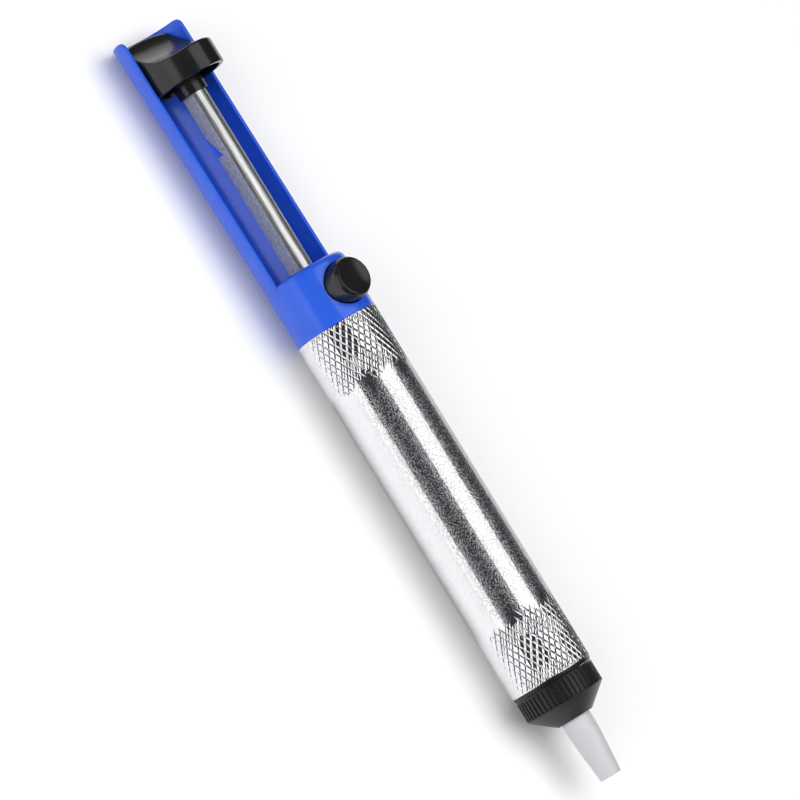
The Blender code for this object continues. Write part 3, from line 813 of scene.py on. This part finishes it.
def make_collar():
    """The nose collar: a ribbed straight part and a cone, hollow for the stub and the nozzle's flange."""
    outline = filleted([
        (COLLAR_START, COLLAR_BORE, 0.0), (COLLAR_START, COLLAR_RADIUS, 0.2),
        (CONE_START, COLLAR_RADIUS, 0.35), (COLLAR_END, CONE_RADIUS, 0.22), (COLLAR_END, COLLAR_HOLE, 0.0),
        (FLANGE_POCKET_END, COLLAR_HOLE, 0.0), (FLANGE_POCKET_END, FLANGE_POCKET, 0.0),
        (COLLAR_BORE_END, FLANGE_POCKET, 0.0), (COLLAR_BORE_END, COLLAR_BORE, 0.0)], steps=6)
    rows = [RIB_START, RIB_START + 0.08, RIB_START + 0.18, RIB_START + 0.3]
    rows += list(np.linspace(RIB_START + 0.6, RIB_END - 0.5, 8))
    rows += [RIB_END - 0.3, RIB_END - 0.18, RIB_END - 0.08, RIB_END]
    before_ribs = max(i for i, (station, radius) in enumerate(outline)
                      if radius > COLLAR_RADIUS - 0.05 and station < RIB_START)
    outline[before_ribs + 1:before_ribs + 1] = [(s, COLLAR_RADIUS) for s in rows]
    lathe("nose_collar", outline, BLACK, "collar", ("nose_collar",),
          RIB_COUNT * 14, ribbed, sharp=40)


NOZZLE_FLANGE, NOZZLE_FLANGE_END = 6.0, 178.0
NECK_RADIUS, NECK_END = 3.5, 184.4
TIP_RADIUS, TIP_EDGE = 2.6, 0.18


def make_nozzle():
    """A flanged sleeve whose straight neck tapers, slightly hollow, to the tip."""
    start = measured("nozzle_tip")[0]
    flange = [(start, NOZZLE_FLANGE - 0.1), (start + 0.15, NOZZLE_FLANGE),
              (NOZZLE_FLANGE_END - 0.1, NOZZLE_FLANGE), (NOZZLE_FLANGE_END, NOZZLE_FLANGE - 0.1),
              (NOZZLE_FLANGE_END, NECK_RADIUS)]
    neck = [(s, NECK_RADIUS) for s in np.linspace(NOZZLE_FLANGE_END + 0.2, NECK_END, 5)[:-1]]
    length = NOZZLE_END - TIP_EDGE - NECK_END
    taper = [(NECK_END + length * t, NECK_RADIUS - (NECK_RADIUS - TIP_RADIUS) * t ** 1.2)
             for t in np.linspace(0, 1, 22)]
    tip = [(NOZZLE_END - 0.05, TIP_RADIUS - 0.02), (NOZZLE_END, TIP_RADIUS - 0.09)]
    bore = [(NOZZLE_END, 1.42), (NOZZLE_END - 0.12, 1.3), (182.0, 1.4), (start, 3.2)]
    lathe("nozzle_tip", flange + neck + taper + tip + bore, PTFE, "nozzle", ("nozzle_tip",), 128,
          sharp=50)


INSERT_START, INSERT_FLOOR = 160.0, 165.1
INSERT_BORE, INSERT_HOLE = 7.9, 2.0
INSERT_FLANGE = 9.93
GROOVE_START, GROOVE_END, GROOVE_RADIUS = 166.5, 168.5, 7.2
MOUTH_START, MOUTH_RADIUS = 172.0, 3.4
STUB_RADIUS, STUB_START, STUB_END = 6.8, 171.5, 175.6
THREAD_PITCH = 1.5                # four turns move the collar 6 mm
THREAD_DEPTH = 0.42


def threaded(station, radius, theta):
    """A right-hand thread on the insert's stub, running out at both ends."""
    if abs(radius[0] - STUB_RADIUS) > 0.02:
        return radius
    turn = station / THREAD_PITCH - theta / (2 * pi)
    valley = np.clip(np.abs(turn - np.round(turn)) * 2.6 - 0.2, 0, 1)
    ends = np.clip(min(station - STUB_START - 0.1, STUB_END - 0.25 - station) / 0.3, 0, 1)
    return radius - THREAD_DEPTH * valley * ends


def make_insert():
    """A cup in the tube's end, with a groove for its ring and a threaded stub for the collar."""
    outline = filleted([
        (INSERT_START, PLUG_RADIUS, 0.15), (GROOVE_START, PLUG_RADIUS, 0.1),
        (GROOVE_START, GROOVE_RADIUS, 0.1), (GROOVE_END, GROOVE_RADIUS, 0.1), (GROOVE_END, PLUG_RADIUS, 0.1),
        (TUBE_END + 0.02, PLUG_RADIUS, 0.0), (TUBE_END + 0.02, INSERT_FLANGE, 0.08),
        (STUB_START, 9.5, 0.12), (STUB_START, STUB_RADIUS, 0.0), (STUB_END, STUB_RADIUS, 0.2),
        (STUB_END, MOUTH_RADIUS, 0.1), (MOUTH_START, INSERT_HOLE, 0.0), (INSERT_FLOOR, INSERT_HOLE, 0.2),
        (INSERT_FLOOR, INSERT_BORE, 0.2), (INSERT_START, INSERT_BORE, 0.15)], steps=4)
    stub = outline.index((STUB_START, STUB_RADIUS)) + 1
    outline[stub:stub] = [(s, STUB_RADIUS) for s in np.linspace(STUB_START + 0.08, STUB_END - 0.25, 48)]
    lathe("front_insert", outline, BLACK, "housing", ("front_insert",), 144, threaded,
          sharp=60)


def make_nose():
    make_collar()
    make_nozzle()
    make_insert()


# ---------------------------------------------------------------- inside the barrel

NUT_START, NUT_END = measured("piston_nut")[:2]
NUT_HALF_WIDTH = 3.5
NUT_FACE, NUT_CORNER = 3.55, 4.1  # limits on the radius at the faces and between them
NUT_TURNED = 0.45                 # length over which the corners are turned down
WASHER_EDGE = 0.12
WASHER_HOLE = 2.3                 # over the shaft's screw
BUSH_HOLE = 3.0
SEAL_HOLE = 3.6


def washer(name, hole, material, body):
    """A flat ring of the node's own size, with rounded edges."""
    start, end, radius = measured(name)
    edge = min(WASHER_EDGE, (end - start) / 3)
    outline = filleted([(start, radius, edge), (end, radius, edge), (end, hole, edge),
                        (start, hole, edge)], 3)
    lathe(name, outline, material, body, (name,), 96)


def o_ring(name, body):
    """A round-section ring of the node's own size."""
    start, end, radius = measured(name)
    station, minor = (start + end) / 2, (end - start) / 2
    major = radius - minor
    outline = [(station - minor * cos(t), major + minor * sin(t)) for t in full_turn(20)]
    lathe(name, outline, RUBBER, body, (name,), 128)


def spring(name, base, axis, radius, wire, coils, length, fixed_at_far_end):
    """A compression spring with closed ends, along X (axis 0) or Z (axis 2)."""
    steps = int(coils * 28)
    turn = np.linspace(0, coils, steps)
    end_pitch = wire * 1.06       # the first and last coil lie almost closed
    middle_pitch = (length - wire - 2 * end_pitch) / (coils - 2)
    rise = np.where(turn < 1, turn * end_pitch,
                    np.where(turn > coils - 1, length - wire - (coils - turn) * end_pitch,
                             end_pitch + (turn - 1) * middle_pitch))
    a, b = radius * np.cos(turn * 2 * pi), radius * np.sin(turn * 2 * pi)
    along = wire / 2 + rise
    order = (along, a, b) if axis == 0 else (a, b, along)
    centre = np.stack(order, 1) + np.array(base)
    tangent = np.gradient(centre, axis=0)
    tangent /= np.linalg.norm(tangent, axis=1)[:, None]
    outward = centre - np.array(base)
    outward[:, 0 if axis == 0 else 2] = 0
    outward /= np.linalg.norm(outward, axis=1)[:, None]
    third = np.cross(tangent, outward)
    around = full_turn(12)
    rings = [c + wire / 2 * (np.cos(around)[:, None] * u + np.sin(around)[:, None] * w)
             for c, u, w in zip(centre, outward, third)]
    piece = loft(name, rings, WIRE, "housing", (name,))
    far = np.array(base, float)
    far[axis] += length if fixed_at_far_end else 0
    tuple(world(far))
    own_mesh(piece)


MAIN_LENGTH, MAIN_PRESSED = 59.5, 17.5      # springs at rest, and with their joint at its far limit
SMALL_LENGTH, SMALL_PRESSED = 3.6, 1.6
PISTON_GROOVE, PISTON_GROOVE_RADIUS = 1.1, 6.9   # half the groove's width, and its floor


def make_inside():
    """What the tube and the block hide: bush, seals, springs, and the piston with its fastenings."""
    washer("rear_bush", BUSH_HOLE, BRONZE, "housing")
    washer("rear_bumper", 3.5, RUBBER, "housing")
    o_ring("insert_o_ring", "housing")
    washer("spring_seat", 3.0, STEEL, "housing")
    washer("piston_rear_washer", WASHER_HOLE, STEEL, "plunger")
    make_piston()
    o_ring("piston_o_ring", "plunger")
    washer("piston_front_washer", WASHER_HOLE, STEEL, "plunger")
    make_nut()
    make_pin()
    washer("nozzle_seal", SEAL_HOLE, RUBBER, "nozzle")
    spring("main_spring", (NUT_START, 0.0, 0.0), 0, 6.55, 0.9, 19, MAIN_LENGTH,
           True)
    spring("button_spring", (BUTTON_STATION, 0.0, -8.8), 2, 1.9, 0.4, 4, SMALL_LENGTH,
           False)


def make_piston():
    """A plain drum with a groove round its middle for the ring."""
    start, end, radius = measured("piston")
    middle = (start + end) / 2
    low, high = middle - PISTON_GROOVE, middle + PISTON_GROOVE
    outline = filleted([
        (start, radius, 0.4), (low, radius, 0.15), (low, PISTON_GROOVE_RADIUS, 0.15),
        (high, PISTON_GROOVE_RADIUS, 0.15), (high, radius, 0.15), (end, radius, 0.5),
        (end, WASHER_HOLE, 0.15), (start, WASHER_HOLE, 0.15)], 4)
    lathe("piston", outline, BLACK, "plunger", ("piston",), 128)


def make_nut():
    """A hexagon nut with its corners turned down at both ends."""
    theta = full_turn(96)
    hexagon = NUT_HALF_WIDTH / np.cos((theta + pi / 6) % (pi / 3) - pi / 6)
    rings = [turned_ring(station, np.minimum(hexagon, limit), theta) for station, limit in (
        (NUT_START, NUT_FACE), (NUT_START + NUT_TURNED, NUT_CORNER),
        (NUT_END - NUT_TURNED, NUT_CORNER), (NUT_END, NUT_FACE))]
    rings += [turned_ring(station, 2.1, theta) for station in (NUT_END, NUT_START)]
    loft("piston_nut", rings, STEEL, "plunger", ("piston_nut",), wrap=True, sharp=25)


def make_pin():
    """The solid pin that clears the nozzle, blunt at the piston and tapering to its tip."""
    start, tip = 104.8, 155.0
    radius = 0.75
    outline = [(start, radius - 0.05), (start + 0.1, radius), (tip - 1.1, radius), (tip - 0.2, 0.5),
               (tip, 0.3)]
    theta = full_turn(32)
    rings = [turned_ring(station, r, theta) for station, r in outline]
    loft("cleaning_pin", rings, STEEL, "plunger", ("cleaning_pin",))


# ---------------------------------------------------------------- floor, lights, camera

FLOOR_HALF = 6.0                  # in metres, as are the places and sizes of the lights
FLOOR_DROP = 0.0002               # in metres, under the CAD box


def make_floor():
    n = Nodes("pale_floor")
    n.set(Base_Color=grey(0.93), Specular_IOR_Level=0.2)
    n.link(n.span(n.noise(60.0, 2.0), 0.6, 0.75), n.shader.inputs["Roughness"])
    mesh = bpy.data.meshes.new("floor")
    corners = [(-1, -1), (1, -1), (1, 1), (-1, 1)]
    mesh.from_pydata([(x * FLOOR_HALF, y * FLOOR_HALF, 0) for x, y in corners], [], [(0, 1, 2, 3)])
    mesh.materials.append(n.material)
    floor = bpy.data.objects.new("floor", mesh)
    bpy.context.scene.collection.objects.link(floor)
    floor.location.z = CAD_BOX[0][2] - FLOOR_DROP


def softbox(name, place, target, width, height, radiance, mirrored=True):
    """A rectangular light of even brightness; mirrored says whether metal and gloss reflect it."""
    light = bpy.data.lights.new(name, "AREA")
    light.shape = "RECTANGLE"
    light.size = width
    light.size_y = height
    light.energy = radiance * pi * width * height
    obj = bpy.data.objects.new(name, light)
    obj.location = place
    obj.rotation_euler = (Vector(target) - Vector(place)).to_track_quat("-Z", "Y").to_euler()
    obj.visible_camera = False
    obj.visible_glossy = mirrored
    bpy.context.scene.collection.objects.link(obj)


def make_lights():
    """Two softboxes that the metal mirrors, the dark room between them, and two fills it doesn't."""
    softbox("overhead", (0.25, 0.123, 0.8), (0.25, 0.123, 0.0), 1.1, 0.675, 1.45)
    softbox("front_strip", (-0.33, -0.95, 0.15), (-0.33, 0.0, 0.15), 1.15, 0.30, 1.3)
    softbox("fill", (-0.2, 0.0, 1.2), (-0.2, 0.0, 0.0), 1.8, 1.8, 1.4, mirrored=False)
    softbox("front_fill", (-0.1, -1.3, 0.7), (0.0, 0.0, 0.0), 1.2, 0.8, 3.5, mirrored=False)
    room = bpy.data.worlds.new("studio")
    room.use_nodes = True
    background = room.node_tree.nodes["Background"]
    background.inputs["Color"].default_value = (0.042, 0.043, 0.047, 1.0)
    bpy.context.scene.world = room


CAMERA_TURN = radians(44)         # the view's turn about the pump from straight above
CAMERA_TILT = radians(31.5)       # the pump's slope across the picture
CAMERA_LEAN = 0.056               # how far the view leans along the pump
CAMERA_DISTANCE = 1.27            # in metres
CAMERA_AIM = 100.25               # station at the picture's middle
CAMERA_SHIFT = 0.0036             # in metres, from the axis and across the pump


def make_camera():
    """From the front right and above: the pump runs down to the right, open side towards the camera."""
    along = Vector((1.0, 0.0, 0.0))
    across = Vector((0.0, cos(CAMERA_TURN), sin(CAMERA_TURN)))
    view = Vector((CAMERA_LEAN, -sin(CAMERA_TURN), cos(CAMERA_TURN))).normalized()
    right = cos(CAMERA_TILT) * across + sin(CAMERA_TILT) * along
    right = (right - right.dot(view) * view).normalized()
    up = view.cross(right)
    aim = Vector(world((CAMERA_AIM, 0.0, 0.0))) + across * CAMERA_SHIFT
    camera = bpy.data.cameras.new("camera")
    camera.lens = 256.5
    camera.sensor_width = 36
    camera.clip_start = 0.05
    obj = bpy.data.objects.new("camera", camera)
    turned = Matrix((right, up, view)).transposed().to_4x4()
    obj.matrix_world = Matrix.Translation(aim + view * CAMERA_DISTANCE) @ turned
    bpy.context.scene.collection.objects.link(obj)
    bpy.context.scene.camera = obj
    bpy.context.scene.view_settings.view_transform = "Standard"


make_camera()
make_barrel()
make_handle()
make_button()
make_knob()
make_shaft()
make_nose()
make_inside()
make_floor()
make_lights()
